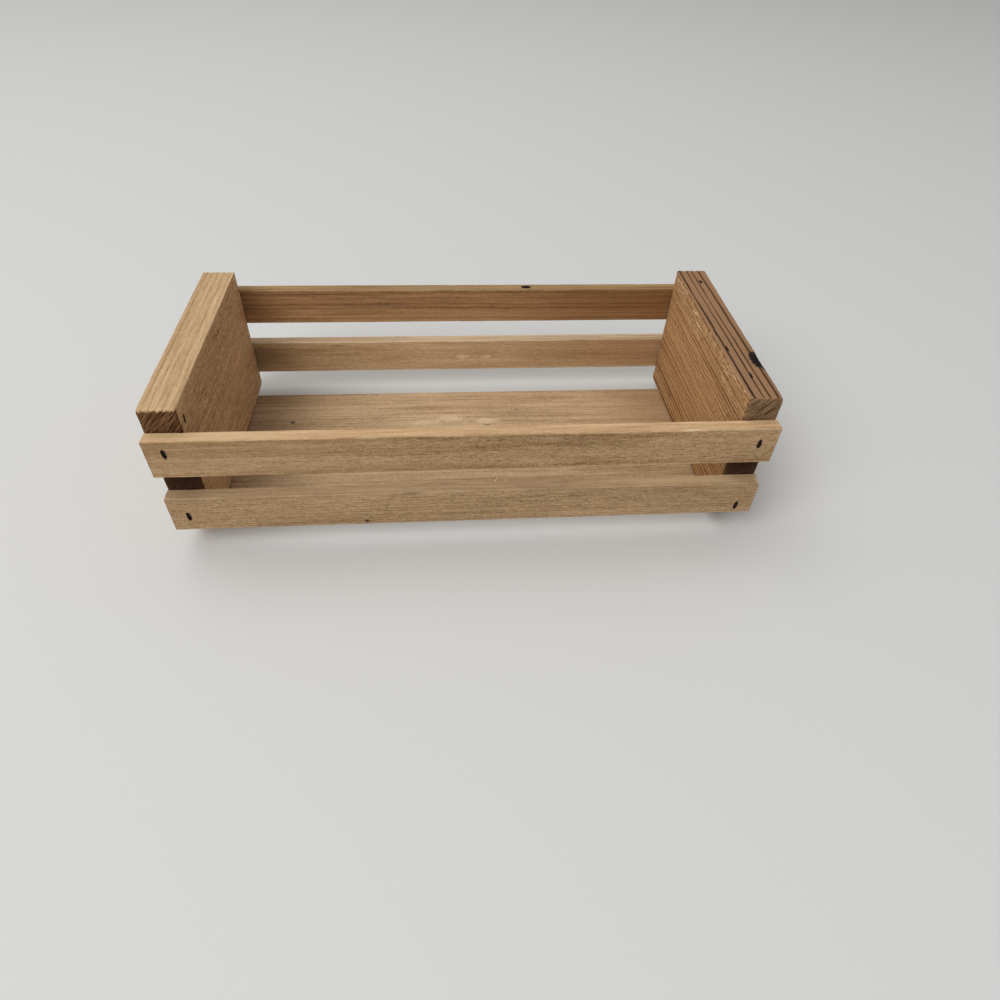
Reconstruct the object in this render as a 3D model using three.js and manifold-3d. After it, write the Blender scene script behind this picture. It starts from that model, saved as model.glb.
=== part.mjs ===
// Small slatted crate: two end boards stand on a bottom board, slats run along the front and the
// back, and narrow-crown wire staples hold every joint.
// Millimetres. X runs along the crate, Y from front to back, Z up. The origin lies on the standing
// surface, under the middle of the crate.
import * as THREE from 'three';
import { mergeVertices } from 'three/addons/utils/BufferGeometryUtils.js';
import Module from 'manifold-3d';

const wasm = await Module();
wasm.setup();

// End boards: lumber with its grain from front to back, cut to the crate's depth.
const clearLength = 278; // between the two end boards
const endThickness = 19;
const endDepth = 141;
const endHeight = 82.5;
const easedRadius = 3; // milled long edges: both lower ones and the upper outer one
const crispRadius = 0.8; // upper inner edge, and the upper corners seen from the side
const cornerRadius = 4; // lower corners seen from the side

// Side slats: thin sawn strips stapled flat on the end boards' front and back ends.
const slatWidth = 22.8;
const slatThickness = 7.5;
const slatTopMargin = 13.3; // end board's top down to the upper slat
const slatBottomMargin = 8.9; // lower slat down to the end board's bottom
const leastSlatGap = 5; // another row is left out where the gap would be smaller
const slatArris = 0.5;

// Bottom board: one wide thin board under both end boards.
const baseWidth = 112;
const baseThickness = 7.5;
const baseArris = 0.6;

// Staples: crown across the strip's grain, sunk below the surface by the gun.
const crownWidth = 4.8;
const wireWidth = 1;
const wireThickness = 1;
const crownBend = 0.7;
const legLength = 25;
const pointLength = 1.6; // chisel point on each leg
const driveDepth = 1;
const stapleClearance = 0.25;
const stapleEdgeMargin = 1.5; // least wood left beside a crown
const stapleTilt = THREE.MathUtils.degToRad(13); // the gun leaned, so each foot points inwards
const baseStaplesPerEnd = 3;
const baseStapleInset = 16; // outermost bottom staple in from the board's edge

// How high each slat staple sits in its strip, as a share of the room there: 0 is the middle,
// 1 is as near the strip's upper edge as it may go. Each row is one slat, left end then right end.
const stapleScatter = {
  front: [[0.46, 0.14], [-0.24, -0.78]],
  back: [[0.2, -0.3], [0.05, 0.4]],
};

const curveSteps = 6;

// Derived places.
const endTop = baseThickness + endHeight;
const endCentreX = (clearLength + endThickness) / 2;
const crateLength = clearLength + 2 * endThickness;
const slatRoom = endHeight - slatTopMargin - slatBottomMargin;
const slatCount = Math.max(1, Math.floor((slatRoom + leastSlatGap) / (slatWidth + leastSlatGap)));
const slatPitch = slatCount > 1 ? (slatRoom - slatWidth) / (slatCount - 1) : 0;

const wood = (color) => new THREE.MeshStandardMaterial({ color, roughness: 0.82, metalness: 0 });
const leftEndWood = wood(0xb08a5c);
const rightEndWood = wood(0xa67a4a);
const slatWood = wood(0xb18d60);
const baseWood = wood(0x9f7d56);
const stapleSteel = new THREE.MeshStandardMaterial({ color: 0x3b2f27, roughness: 0.55, metalness: 0.7 });

// A closed geometry as a solid that can be cut.
function toSolid(geometry) {
  const bare = geometry.clone();
  bare.deleteAttribute('normal');
  bare.deleteAttribute('uv');
  const merged = mergeVertices(bare);
  return new wasm.Manifold(new wasm.Mesh({
    numProp: 3,
    vertProperties: merged.attributes.position.array,
    triVerts: new Uint32Array(merged.index.array),
  }));
}

function toGeometry(solid) {
  const mesh = solid.getMesh();
  const geometry = new THREE.BufferGeometry();
  geometry.setAttribute('position', new THREE.BufferAttribute(mesh.vertProperties, 3));
  geometry.setIndex(new THREE.BufferAttribute(mesh.triVerts, 1));
  geometry.computeVertexNormals();
  return geometry;
}

// A rectangle about the origin whose corners are rounded, anticlockwise from the lower right.
function roundedSection(width, height, { lowerRight, upperRight, upperLeft, lowerLeft }) {
  const x = width / 2;
  const y = height / 2;
  const quarter = Math.PI / 2;
  const section = new THREE.Shape();
  section.absarc(x - lowerRight, -y + lowerRight, lowerRight, -quarter, 0);
  section.absarc(x - upperRight, y - upperRight, upperRight, 0, quarter);
  section.absarc(-x + upperLeft, y - upperLeft, upperLeft, quarter, 2 * quarter);
  section.absarc(-x + lowerLeft, -y + lowerLeft, lowerLeft, 2 * quarter, 3 * quarter);
  return section;
}

// A stick of that section, centred on the origin with its length along Z.
function stick(section, length) {
  const geometry = new THREE.ExtrudeGeometry(section, {
    depth: length,
    bevelEnabled: false,
    curveSegments: curveSteps,
  });
  return geometry.translate(0, 0, -length / 2);
}

// The section lies in XZ and the length along Y.
const stickAlongY = (section, length) => stick(section, length).rotateX(Math.PI / 2);

// The section lies in YZ and the length along X.
const stickAlongX = (section, length) => stickAlongY(section, length).rotateZ(Math.PI / 2);

// A staple's outline, crown along X with its top at Y = 0, legs down.
function stapleOutline() {
  const half = crownWidth / 2;
  const inner = half - wireThickness;
  const foot = -legLength;
  const outline = new THREE.Shape();
  outline.moveTo(half, foot + pointLength);
  outline.absarc(half - crownBend, -crownBend, crownBend, 0, Math.PI / 2);
  outline.absarc(-half + crownBend, -crownBend, crownBend, Math.PI / 2, Math.PI);
  outline.lineTo(-half, foot + pointLength);
  outline.lineTo(-inner, foot);
  outline.lineTo(-inner, -wireThickness);
  outline.lineTo(inner, -wireThickness);
  outline.lineTo(inner, foot);
  return outline;
}

// The slot that the staple and the gun's driver leave in the wood, open above the sunk crown.
function pocketOutline() {
  const half = crownWidth / 2 + stapleClearance;
  const inner = crownWidth / 2 - wireThickness - stapleClearance;
  const foot = -legLength - stapleClearance;
  const shoulder = -wireThickness - stapleClearance;
  const mouth = 2 * driveDepth; // past the surface
  const outline = new THREE.Shape();
  outline.moveTo(half, foot);
  outline.lineTo(half, mouth);
  outline.lineTo(-half, mouth);
  outline.lineTo(-half, foot);
  outline.lineTo(-inner, foot);
  outline.lineTo(-inner, shoulder);
  outline.lineTo(inner, shoulder);
  outline.lineTo(inner, foot);
  return outline;
}

const stapleGeometry = stick(stapleOutline(), wireWidth);
const pocketGeometry = stick(pocketOutline(), wireWidth + 2 * stapleClearance);

// Where a staple goes in: point on the wood's surface, outward normal there, and the crown's
// direction, leaned about the normal.
function stapleFrame(point, outward, crown, tilt) {
  const y = outward.clone();
  const x = crown.clone().applyAxisAngle(y, tilt);
  const z = new THREE.Vector3().crossVectors(x, y);
  const top = point.clone().addScaledVector(y, -driveDepth);
  return new THREE.Matrix4().makeBasis(x, y, z).setPosition(top);
}

// The board's geometry, in its own frame, with a pocket for each staple driven through it.
function withPockets(geometry, boardCentre, frames) {
  const toBoard = new THREE.Matrix4().makeTranslation(boardCentre.clone().negate());
  let solid = toSolid(geometry);
  for (const frame of frames) {
    const pocket = pocketGeometry.clone().applyMatrix4(frame).applyMatrix4(toBoard);
    solid = solid.subtract(toSolid(pocket));
  }
  return toGeometry(solid);
}

// A length of lumber with those long edges, its lower corners rounded in side view.
function endBoard(longEdges) {
  const lumber = stickAlongY(roundedSection(endThickness, endHeight, longEdges), endDepth);
  const sideView = roundedSection(endDepth, endHeight, {
    lowerRight: cornerRadius,
    upperRight: crispRadius,
    upperLeft: crispRadius,
    lowerLeft: cornerRadius,
  });
  return toGeometry(toSolid(lumber).intersect(toSolid(stickAlongX(sideView, 2 * endThickness))));
}

const crate = new THREE.Group();
crate.name = 'slatted_crate';

function addBoard(name, geometry, centre, material, frames) {
  const board = new THREE.Mesh(withPockets(geometry, centre, frames), material);
  board.name = name;
  board.position.copy(centre);
  crate.add(board);
}

function addStaple(name, frame) {
  const staple = new THREE.Mesh(stapleGeometry, stapleSteel);
  staple.name = name;
  staple.applyMatrix4(frame);
  crate.add(staple);
}

const ends = [{ name: 'left', sign: -1 }, { name: 'right', sign: 1 }];
const sides = [{ name: 'front', sign: -1 }, { name: 'back', sign: 1 }];
const staples = []; // { name, frame, end, strip }

function rowName(row) {
  if (row === 0) return 'upper';
  return row === slatCount - 1 ? 'lower' : `middle_${row}`;
}

// Slat staples, one through each end of each slat into the end grain behind it.
const slats = [];
for (const side of sides) {
  const faceY = side.sign * (endDepth / 2 + slatThickness);
  const room = slatWidth / 2 - crownWidth / 2 - stapleEdgeMargin;
  for (let row = 0; row < slatCount; row += 1) {
    const strip = `${side.name}_${rowName(row)}_slat`;
    const centre = new THREE.Vector3(
      0,
      side.sign * (endDepth + slatThickness) / 2,
      endTop - slatTopMargin - slatWidth / 2 - row * slatPitch,
    );
    slats.push({ name: strip, centre });
    ends.forEach((end, k) => {
      const scatter = stapleScatter[side.name][row % stapleScatter[side.name].length][k];
      staples.push({
        name: `${side.name}_${rowName(row)}_${end.name}_staple`,
        end: end.name,
        strip,
        frame: stapleFrame(
          new THREE.Vector3(end.sign * endCentreX, faceY, centre.z + scatter * room),
          new THREE.Vector3(0, side.sign, 0),
          new THREE.Vector3(0, 0, 1),
          end.sign * side.sign * stapleTilt,
        ),
      });
    });
  }
}

// Bottom staples, in a line through the board into each end board's lower edge.
for (const end of ends) {
  for (let k = 0; k < baseStaplesPerEnd; k += 1) {
    const share = baseStaplesPerEnd > 1 ? k / (baseStaplesPerEnd - 1) - 0.5 : 0;
    staples.push({
      name: `bottom_${end.name}_staple_${k + 1}`,
      end: end.name,
      strip: 'bottom_board',
      frame: stapleFrame(
        new THREE.Vector3(end.sign * endCentreX, share * (baseWidth - 2 * baseStapleInset), 0),
        new THREE.Vector3(0, 0, -1),
        new THREE.Vector3(0, 1, 0),
        0,
      ),
    });
  }
}

const framesThrough = (key, value) => staples.filter((s) => s[key] === value).map((s) => s.frame);
const evenCorners = (radius) => ({
  lowerRight: radius,
  upperRight: radius,
  upperLeft: radius,
  lowerLeft: radius,
});

for (const end of ends) {
  const corners = {
    ...evenCorners(easedRadius),
    [end.sign < 0 ? 'upperRight' : 'upperLeft']: crispRadius,
  };
  addBoard(
    `${end.name}_end_board`,
    endBoard(corners),
    new THREE.Vector3(end.sign * endCentreX, 0, baseThickness + endHeight / 2),
    end.sign < 0 ? leftEndWood : rightEndWood,
    framesThrough('end', end.name),
  );
}

for (const slat of slats) {
  addBoard(
    slat.name,
    stickAlongX(roundedSection(slatThickness, slatWidth, evenCorners(slatArris)), crateLength),
    slat.centre,
    slatWood,
    framesThrough('strip', slat.name),
  );
}

addBoard(
  'bottom_board',
  stickAlongX(roundedSection(baseWidth, baseThickness, evenCorners(baseArris)), crateLength),
  new THREE.Vector3(0, 0, baseThickness / 2),
  baseWood,
  framesThrough('strip', 'bottom_board'),
);

for (const { name, frame } of staples) addStaple(name, frame);

export default crate;
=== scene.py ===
"""A small open crate of old softwood boards and slats, held together with wire staples."""

import math
from collections import namedtuple

import bmesh
import bpy
import numpy as np
from mathutils import Euler, Matrix, Vector


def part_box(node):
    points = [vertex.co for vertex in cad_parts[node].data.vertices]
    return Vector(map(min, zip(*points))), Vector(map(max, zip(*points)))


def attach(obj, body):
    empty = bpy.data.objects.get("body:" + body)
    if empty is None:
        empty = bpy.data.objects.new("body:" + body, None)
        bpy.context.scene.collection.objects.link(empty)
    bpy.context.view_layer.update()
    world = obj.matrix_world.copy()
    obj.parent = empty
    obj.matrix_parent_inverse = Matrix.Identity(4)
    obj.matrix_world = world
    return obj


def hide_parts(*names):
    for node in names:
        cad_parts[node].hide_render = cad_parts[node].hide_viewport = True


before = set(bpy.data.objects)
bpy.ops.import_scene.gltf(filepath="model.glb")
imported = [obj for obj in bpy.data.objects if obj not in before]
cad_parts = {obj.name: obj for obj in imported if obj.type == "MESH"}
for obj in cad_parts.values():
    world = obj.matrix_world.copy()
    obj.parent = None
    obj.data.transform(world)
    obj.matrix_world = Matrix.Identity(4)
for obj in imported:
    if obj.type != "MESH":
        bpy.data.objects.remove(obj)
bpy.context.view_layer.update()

# Left end board
# A short length of 19 mm softwood that stands with its grain from front to back. Its top edge is smooth
# and golden, its faces are rough from the saw, and its torn front end takes the front slats' staples.

MM = 0.001
ORIGIN = (0.0, 0.0, 0.0)


def feed(tree, socket, term):
    """Gives a node's input a plain value, or links it to a field or another node's output."""
    if isinstance(term, Field):
        tree.links.new(term.socket, socket)
    elif isinstance(term, bpy.types.NodeSocket):
        tree.links.new(term, socket)
    else:
        socket.default_value = term


class Field:
    """A number that changes over a board: a node's output that plain arithmetic can combine."""

    def __init__(self, tree, socket):
        self.tree = tree
        self.socket = socket

    def worked(self, operation, *others):
        """This number put through a Math node with the others."""
        step = self.tree.nodes.new("ShaderNodeMath")
        step.operation = operation
        for socket, term in zip(step.inputs, (self, *others)):
            feed(self.tree, socket, term)
        return Field(self.tree, step.outputs[0])

    def ramp(self, low, high, at_low=0.0, at_high=1.0):
        """A smooth step from at_low, where this number is low, to at_high, where it is high."""
        step = self.tree.nodes.new("ShaderNodeMapRange")
        step.interpolation_type = "SMOOTHSTEP"
        for socket, term in zip(step.inputs, (self, low, high, at_low, at_high)):
            feed(self.tree, socket, term)
        return Field(self.tree, step.outputs[0])

    def kept(self, low=0.0, high=1.0):
        """This number held between two limits."""
        return self.worked("MAXIMUM", low).worked("MINIMUM", high)

    def __add__(self, other):
        return self.worked("ADD", other)

    def __sub__(self, other):
        return self.worked("SUBTRACT", other)

    def __mul__(self, other):
        return self.worked("MULTIPLY", other)

    def __truediv__(self, other):
        return self.worked("DIVIDE", other)

    def __rsub__(self, other):
        return self * -1.0 + other

    def __abs__(self):
        return self.worked("ABSOLUTE")

    __radd__ = __add__
    __rmul__ = __mul__


def between(first, second, share):
    """A number between two others, by a share from 0 to 1."""
    return first + (second - first) * share


SOCKETS = {float: "NodeSocketFloat", int: "NodeSocketInt", 3: "NodeSocketVector", 4: "NodeSocketColor"}


def start_tree(name, kind, asks, gives):
    """A node tree with named sockets. Gives the tree, its inputs as fields, and its output node."""
    tree = bpy.data.node_groups.new(name, kind)
    for label, start in asks.items():
        if isinstance(start, str):
            tree.interface.new_socket(label, in_out="INPUT", socket_type=start)
            continue
        sort = len(start) if isinstance(start, tuple) else type(start)
        socket = tree.interface.new_socket(label, in_out="INPUT", socket_type=SOCKETS[sort])
        socket.default_value = start
    for label, sort in gives.items():
        tree.interface.new_socket(label, in_out="OUTPUT", socket_type=sort)
    source = tree.nodes.new("NodeGroupInput")
    ask = {label: Field(tree, source.outputs[label]) for label in asks}
    return tree, ask, tree.nodes.new("NodeGroupOutput")


def made(tree, kind, terms=None, **settings):
    """A new node with its settings made and its inputs fed by name or number."""
    step = tree.nodes.new(kind)
    for name, value in settings.items():
        setattr(step, name, value)
    for name, term in (terms or {}).items():
        feed(tree, step.inputs[name], term)
    return step


def vector(tree, operation, *terms):
    """The result of a Vector Math node."""
    step = tree.nodes.new("ShaderNodeVectorMath")
    step.operation = operation
    for socket, term in zip(step.inputs, terms):
        feed(tree, socket, term)
    return step.outputs[0]


def scaled(tree, place, amount):
    """A vector or a colour made longer or brighter by an amount."""
    return made(tree, "ShaderNodeVectorMath", {0: place, "Scale": amount}, operation="SCALE").outputs[0]


def joined(tree, along, across, deep):
    """A vector of three numbers."""
    return made(tree, "ShaderNodeCombineXYZ", {"X": along, "Y": across, "Z": deep}).outputs[0]


def parts(tree, place):
    """The three numbers of a vector, as fields."""
    split_up = made(tree, "ShaderNodeSeparateXYZ", {0: place})
    return [Field(tree, socket) for socket in split_up.outputs]


# A layer of noise: its cells to the millimetre along, across and through a board, its own draw on top
# of the board's seed, and the band where it shows, from nothing at the low end to all at the high end
Layer = namedtuple("Layer", "cells draw detail roughness band", defaults=(0.0, 2.0, 0.5, None))
NOISE_MIDDLE = 0.5
SWING_GAIN = 4.0


def noise(tree, place, layer, seed=0.0):
    """A layer of noise from 0 to 1."""
    shift = seed + layer.draw
    spot = vector(tree, "MULTIPLY_ADD", place, layer.cells, joined(tree, shift, shift, shift))
    terms = {"Vector": spot, "Scale": 1.0, "Detail": layer.detail, "Roughness": layer.roughness}
    strength = Field(tree, made(tree, "ShaderNodeTexNoise", terms).outputs[0])
    return strength.ramp(*layer.band) if layer.band else strength


def swing(tree, place, layer, seed=0.0):
    """A layer of noise that swings about nothing, mostly between -1 and 1."""
    return (noise(tree, place, layer, seed) - NOISE_MIDDLE) * SWING_GAIN


RING_SWAY = Layer((0.004, 0.03, 0.03), detail=1.0)
RING_WAVER = Layer((0.03, 0.16, 0.16), draw=5.0)
# How far the rings sway, how unevenly the years follow each other, and where in a year latewood peaks
# and ends
SWAY_WEIGHT = 4.0
SEASON_CELLS = 0.6
SEASON_SHIFT = 1.3
LATE_DARKEST = 0.93
LATE_END = 0.96
RING_FIGURE = {
    "Pith Across": 0.0,
    "Pith Deep": 0.0,
    "Ring Width": 2.5,
    "Late Share": 0.42,
    "Unevenness": 0.6,
    "Wander": 1.0,
    "Seed": 0.0,
}


def growth_rings(tree, place, ask):
    """Latewood from 0 to 1 at a place on a board that was sawn out of the rings round a pith line."""
    sway = noise(tree, place, RING_SWAY, ask["Seed"]) - NOISE_MIDDLE
    waver = noise(tree, place, RING_WAVER, ask["Seed"]) - NOISE_MIDDLE
    _, across, deep = parts(tree, place)
    sideways = across - ask["Pith Across"]
    inwards = deep - ask["Pith Deep"]
    from_pith = (sideways * sideways + inwards * inwards).worked("SQRT")
    years = (from_pith + (sway * SWAY_WEIGHT + waver) * ask["Wander"]) / ask["Ring Width"]
    terms = {"W": years * SEASON_CELLS, "Scale": 1.0, "Detail": 1.0}
    season = Field(tree, made(tree, "ShaderNodeTexNoise", terms, noise_dimensions="1D").outputs[0])
    years = years + (season - NOISE_MIDDLE) * ask["Unevenness"] * SEASON_SHIFT
    phase = years.worked("FRACT")
    late = phase.ramp(1.0 - ask["Late Share"], LATE_DARKEST) * phase.ramp(1.0, LATE_END)
    chance = made(tree, "ShaderNodeTexWhiteNoise", {"W": years.worked("FLOOR")}, noise_dimensions="1D")
    return late * (1.0 - Field(tree, chance.outputs[0]) * ask["Unevenness"])


STROKE_SLOPE = math.radians(50)
STROKES = Layer((0.0, 0.09, 1.4), draw=47.0)


def saw_strokes(tree, place, seed):
    """The slanting strokes that a coarse saw left across a board's end, from -1 to 1."""
    _, across, deep = parts(tree, place)
    lengthways = deep * math.cos(STROKE_SLOPE) + across * math.sin(STROKE_SLOPE)
    sideways = across * math.cos(STROKE_SLOPE) - deep * math.sin(STROKE_SLOPE)
    return swing(tree, joined(tree, 0.0, lengthways, sideways), STROKES, seed)


WHITE = (1.0, 1.0, 1.0, 1.0)


def mixed(tree, share, first, second):
    """Two colours mixed by a share. The Mix node has its colours at inputs 6 and 7 and at output 2."""
    return made(tree, "ShaderNodeMix", {0: share, 6: first, 7: second}, data_type="RGBA").outputs[2]


STREAKS = Layer((0.012, 0.4, 0.4), draw=11.0)
GRAIN = Layer((0.045, 1.1, 1.1), draw=13.0, detail=3.0)
FIBRES = Layer((0.3, 1.6, 1.6), draw=17.0)
DASH_PATCHES = Layer((0.012, 0.06, 0.06), draw=23.0, band=(0.35, 0.65))
DASHES = Layer((1.0, 1.2, 1.2), draw=29.0, detail=1.0, band=(0.57, 0.7))
NAP = Layer((1.1, 1.6, 1.6), draw=31.0, detail=3.0, roughness=0.6)
CLOUD = Layer((0.01, 0.04, 0.04), draw=37.0)
PORES = Layer((1.2, 1.2, 1.2), draw=41.0, detail=3.0, roughness=0.65)
WEAR = Layer((0.07, 0.2, 0.2), draw=43.0, band=(0.4, 0.65))
LATE_MEAN = 0.3
# The share of the sawn faces' roughness that the planed edges keep
EDGE_DASHES = 0.3
EDGE_FIBRES = 0.5
EDGE_NAP = 0.35
# How ripeness is weighed: the palest and darkest wood, and where the darkest goes on to look burnt
PORE_SHADE = 0.6
USUAL_RIPENESS = 0.4
RIPE_RANGE = (-0.6, 1.4)
BURNT_RANGE = (1.0, 1.9)
BURNT_SHADE = 0.4
WOOD_ROUGHNESS = 0.74
SMOOTHEST = 0.4
END_ROUGHNESS = 0.15
NAP_ROUGHNESS = 0.05
STREAK_ROUGHNESS = 0.05
# How far each layer stands up or sinks in, in millimetres
LATE_RELIEF = 0.05
THREAD_RELIEF = 0.1
FUZZ_RELIEF = 0.12
DASH_RELIEF = 0.2
END_LATE_RELIEF = 0.1
PORE_RELIEF = 0.2
STROKE_RELIEF = 0.15
LOOK = {
    "Earlywood": (0.72, 0.48, 0.28, 1.0),
    "Latewood": (0.24, 0.147, 0.078, 1.0),
    "Edge Tint": (1.0, 1.0, 1.0, 1.0),
    "End Tint": (0.45, 0.4, 0.38, 1.0),
    "Rings": 0.5,
    "Edge Rings": 0.5,
    "End Rings": 0.6,
    "Strokes": 1.4,
    "Streaks": 0.15,
    "Grain": 0.3,
    "Fibres": 0.3,
    "Dashes": 0.3,
    "Dash Length": 4.0,
    "Nap": 0.45,
    "Drift": 0.15,
    "Wear": 0.3,
}


def old_softwood():
    """The shader group of bare old softwood: colour, roughness and height in millimetres over a board."""
    asks = {"Place": ORIGIN, "End Grain": 0.0, "Arris": 0.0, "Sawn": 1.0, **LOOK, **RING_FIGURE}
    gives = {"Colour": "NodeSocketColor", "Roughness": "NodeSocketFloat", "Height": "NodeSocketFloat"}
    tree, ask, out = start_tree("old softwood", "ShaderNodeTree", asks, gives)
    place = ask["Place"]
    seed = ask["Seed"]
    sawn = ask["Sawn"]
    ends = ask["End Grain"]

    # Gathers what makes the wood ripe, which is dark, on the sides and on the ends
    late = growth_rings(tree, place, ask)
    rings = (late - LATE_MEAN) * between(ask["Edge Rings"], ask["Rings"], sawn)
    streaks = swing(tree, place, STREAKS, seed)
    fibres = swing(tree, place, FIBRES, seed) * ask["Fibres"] * between(EDGE_FIBRES, 1.0, sawn)
    threads = swing(tree, place, GRAIN, seed) * ask["Grain"] + fibres
    nap = swing(tree, place, NAP, seed)
    fuzz = nap * ask["Nap"] * between(EDGE_NAP, 1.0, sawn)
    dash_place = vector(tree, "DIVIDE", place, joined(tree, ask["Dash Length"], 1.0, 1.0))
    dashes = noise(tree, dash_place, DASHES, seed) * noise(tree, place, DASH_PATCHES, seed)
    dashes = dashes * between(EDGE_DASHES, 1.0, sawn) * ask["Dashes"]
    cloud = swing(tree, place, CLOUD, seed) * ask["Drift"]
    wear = noise(tree, place, WEAR, seed) * ask["Arris"] * ask["Wear"]
    side_ripe = rings + streaks * ask["Streaks"] + threads + fuzz + dashes + cloud - wear
    strokes = saw_strokes(tree, place, seed)
    pores = swing(tree, place, PORES, seed)
    end_ripe = (late - LATE_MEAN) * ask["End Rings"] + strokes * ask["Strokes"] + pores * PORE_SHADE
    ripe = between(side_ripe, end_ripe, ends) + USUAL_RIPENESS

    # Turns ripeness into colour, with its own tint for the planed edges and for the ends
    colour = mixed(tree, ripe.ramp(*RIPE_RANGE), ask["Earlywood"], ask["Latewood"])
    colour = scaled(tree, colour, ripe.ramp(*BURNT_RANGE, 1.0, BURNT_SHADE))
    planed = (1.0 - sawn) * (1.0 - ends)
    for share, tint in ((planed, "Edge Tint"), (ends, "End Tint")):
        colour = vector(tree, "MULTIPLY", colour, mixed(tree, share, WHITE, ask[tint]))
    roughness = WOOD_ROUGHNESS + streaks * STREAK_ROUGHNESS + ends * END_ROUGHNESS + nap * NAP_ROUGHNESS
    side_height = late * LATE_RELIEF - threads * THREAD_RELIEF - fuzz * FUZZ_RELIEF - dashes * DASH_RELIEF
    end_height = late * END_LATE_RELIEF - pores * PORE_RELIEF - strokes * STROKE_RELIEF
    feed(tree, out.inputs["Colour"], colour)
    feed(tree, out.inputs["Roughness"], roughness.kept(SMOOTHEST, 1.0))
    feed(tree, out.inputs["Height"], between(side_height, end_height, ends))
    return tree


RAGGED_BORDER = Layer((0.6, 0.6, 0.6), detail=3.0)
RAGGED_GAIN = 2.0
USUAL_RAGGED = 0.2
USUAL_SOFT = 0.3


def blemish():
    """The shader group of one small mark: a mask over a ragged oval round its centre."""
    asks = {"Place": ORIGIN, "Centre": ORIGIN, "Reach": (1.0, 1.0, 1.0), "Ragged": USUAL_RAGGED,
            "Soft": USUAL_SOFT}
    tree, ask, out = start_tree("blemish", "ShaderNodeTree", asks, {"Mask": "NodeSocketFloat"})
    off = vector(tree, "SUBTRACT", ask["Place"], ask["Centre"])
    across = vector(tree, "DIVIDE", off, ask["Reach"])
    far = Field(tree, made(tree, "ShaderNodeVectorMath", {0: across}, operation="LENGTH").outputs["Value"])
    ragged = (noise(tree, ask["Place"], RAGGED_BORDER) - NOISE_MIDDLE) * ask["Ragged"] * RAGGED_GAIN
    feed(tree, out.inputs["Mask"], (far + ragged).ramp(1.0, 1.0 - ask["Soft"]))
    return tree


OLD_SOFTWOOD = old_softwood()
BLEMISH = blemish()

# A mark on a board: its centre and reach in the crate's frame and how far it pushes the surface, all in
# millimetres, then how much of its colour it lays on, and how ragged and how soft its border is
Mark = namedtuple("Mark", "at reach push shade colour ragged soft", defaults=(USUAL_RAGGED, USUAL_SOFT))
NO_PUSH = (0.0, 0.0, 0.0)
DARK_MARK = (0.012, 0.007, 0.005, 1.0)
PALE_MARK = (0.8, 0.58, 0.34, 1.0)
FLECK = (0.9, 0.7, 0.47, 1.0)
# A dark brown: real grime in some marks, painted shade in others
GRIME_AND_SHADE = (0.045, 0.018, 0.008, 1.0)
WOOD_GLOSS = 0.12


def wash(at, reach, shade, colour):
    """A faint wash of colour that fades out over its whole reach and leaves the wood's surface as it is: a
    stain on some boards, painted shade on others.
    """
    return Mark(at, reach, NO_PUSH, shade, colour, ragged=0.1, soft=0.9)


def fleck(at, reach, shade):
    """A pale scuffed fleck with a broken border."""
    return Mark(at, reach, NO_PUSH, shade, FLECK, ragged=0.7, soft=0.6)


def start_material(name):
    """A new material. Gives it, its node tree, its shader, and a piece's places in the crate's frame."""
    material = bpy.data.materials.new(name)
    material.use_nodes = True
    tree = material.node_tree
    place = made(tree, "ShaderNodeTexCoord").outputs["Object"]
    return material, tree, tree.nodes["Principled BSDF"], place


def softwood(name, centre, turn, figure, look, marks, fray):
    """The material of one board: old softwood in the board's own frame, with its own marks."""
    material, tree, finish, place = start_material(name)
    mapping = {"Vector": place, "Location": centre, "Rotation": turn, "Scale": (MM, MM, MM)}
    board_place = made(tree, "ShaderNodeMapping", mapping, vector_type="TEXTURE").outputs[0]
    crate_place = scaled(tree, place, 1.0 / MM)
    flags = {}
    for label, attribute in (("End Grain", "end_grain"), ("Arris", "arris"), ("Sawn", "sawn")):
        flags[label] = made(tree, "ShaderNodeAttribute", attribute_name=attribute).outputs["Fac"]
    terms = {"Place": board_place, **flags, **figure, **look}
    wood = made(tree, "ShaderNodeGroup", terms, node_tree=OLD_SOFTWOOD)
    colour = wood.outputs["Colour"]
    if fray:
        colour = fray(tree, board_place, flags["Sawn"], colour)
    for mark in marks:
        terms = {"Place": crate_place, "Centre": mark.at, "Reach": mark.reach, "Ragged": mark.ragged,
                 "Soft": mark.soft}
        spot = made(tree, "ShaderNodeGroup", terms, node_tree=BLEMISH)
        share = Field(tree, spot.outputs["Mask"]) * mark.shade
        colour = mixed(tree, share, colour, mark.colour)
    relief = {"Strength": 1.0, "Distance": MM, "Height": wood.outputs["Height"]}
    feed(tree, finish.inputs["Base Color"], colour)
    feed(tree, finish.inputs["Roughness"], wood.outputs["Roughness"])
    feed(tree, finish.inputs["Normal"], made(tree, "ShaderNodeBump", relief).outputs[0])
    finish.inputs["Specular IOR Level"].default_value = WOOD_GLOSS
    return material


BOARD = {
    "Length": 100.0,
    "Width": 20.0,
    "Thickness": 8.0,
    "Steps Along": 100,
    "Steps Across": 20,
    "Steps Through": 8,
    "Upper Near Edge": 0.6,
    "Upper Far Edge": 0.6,
    "Lower Near Edge": 0.6,
    "Lower Far Edge": 0.6,
    "Upper End Corner": 0.6,
    "Lower End Corner": 0.6,
    "Side End Corner": 0.5,
    "Edge Wear": 0.6,
    "Chips": 0.6,
    "End Tear": 0.4,
    "Ring Relief": 0.08,
    "Ridges": 0.12,
    "Saw Marks": 0.12,
    "Waves": 0.25,
    "Edge Taper": 0.0,
}
OUTERMOST = 0.9999
END_GRAIN_FADE = 0.4
SAWN_MARGIN = 1.2
ARRIS_WIDTH = 2.2


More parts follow.
